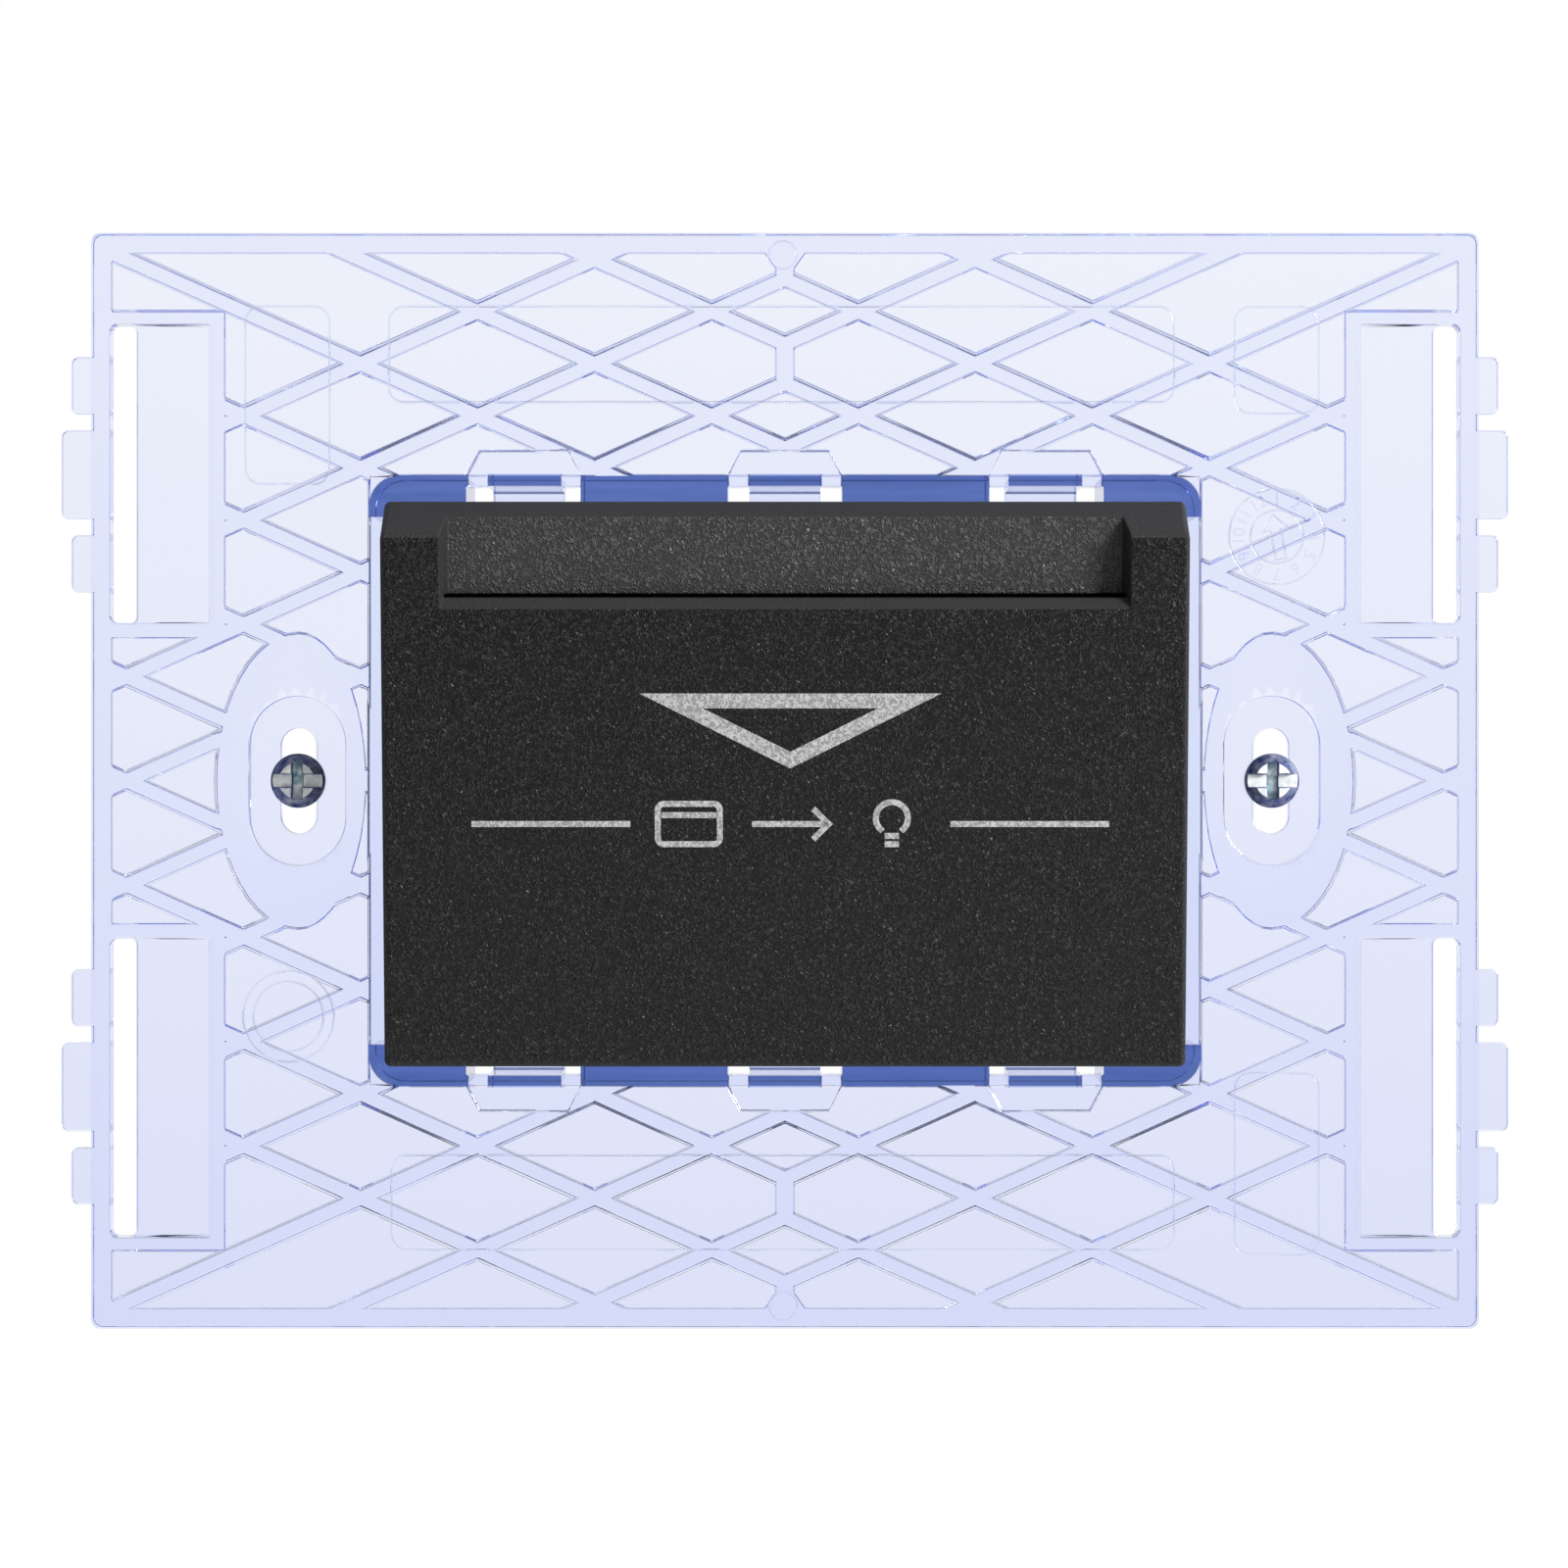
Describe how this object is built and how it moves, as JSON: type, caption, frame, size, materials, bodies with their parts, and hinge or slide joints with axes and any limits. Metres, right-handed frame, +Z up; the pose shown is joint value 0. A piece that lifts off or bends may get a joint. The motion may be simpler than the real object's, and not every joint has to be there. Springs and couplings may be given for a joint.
{
  "type": "hotel key card switch",
  "caption": "Black card pocket module in a clear support frame: a card pushed into the slot swings a sprung lever that works a snap switch with rear wire clamps.",
  "frame": {"origin": "On the wall plane, at the back face of the support frame, midway between the two fixing screws", "axes": "+X right as seen from the front, +Z up, +Y into the wall along the fixing screws; the card face looks along -Y"},
  "size_m": [0.1244, 0.0484, 0.0938],
  "materials": {
    "clear_frame": "clear pale blue polycarbonate",
    "black_cover": "fine leather grain",
    "black_inner": "smooth moulded",
    "zinc_screw": "bright zinc plated",
    "lever_plastic": "natural acetal",
    "steel_pin": "ground",
    "spring_steel": "bright wire",
    "housing_plastic": "light grey moulded",
    "switch_plastic": "black phenolic",
    "plunger_plastic": "red moulded",
    "blade_copper": "spring copper strip",
    "contact_silver": "silver rivet",
    "terminal_brass": "plain brass"
  },
  "bodies": {
    "base": {"support_frame": "clear_frame", "fixing_screws": "zinc_screw", "front_cover": "black_cover", "card_guide": "black_inner", "guide_screws": "zinc_screw", "lever_pin": "steel_pin", "return_spring": "spring_steel", "rear_housing": "housing_plastic", "switch_case": "switch_plastic", "switch_lid": "switch_plastic", "common_terminal": "terminal_brass", "make_terminal": "terminal_brass", "break_terminal": "terminal_brass", "make_contact": "contact_silver", "break_contact": "contact_silver", "peg_washers": "spring_steel", "wire_clamps": "terminal_brass", "clamp_screws": "zinc_screw", "rear_cover": "housing_plastic", "rear_screws": "zinc_screw"},
    "lever": {"card_lever": "lever_plastic"},
    "plunger": {"switch_plunger": "plunger_plastic"},
    "blade": {"contact_blade": "blade_copper", "moving_contact": "contact_silver"}
  },
  "joints": [
    {"name": "lever_hinge", "type": "hinge", "parent": "base", "child": "lever", "pos_m": [0, -0.00555, 0.00904], "axis": [1, 0, 0], "range_deg": [0, 5.3], "stiffness_Nm_per_rad": 0.02, "springref_deg": -5.73, "deforming": ["return_spring"]},
    {"name": "plunger_slide", "type": "slide", "parent": "base", "child": "plunger", "axis": [0, 1, 0], "range_m": [0, 0.00098]},
    {"name": "blade_hinge", "type": "hinge", "parent": "base", "child": "blade", "pos_m": [-0.0095, 0.00985, -0.00096], "axis": [0, 0, 1], "range_deg": [0, 5.9]}
  ],
  "couplings": [
    {"joint": "plunger_slide", "follows": "lever_hinge", "m_per_rad": 0.0105},
    {"joint": "blade_hinge", "follows": "lever_hinge", "ratio": 1.1053}
  ]
}
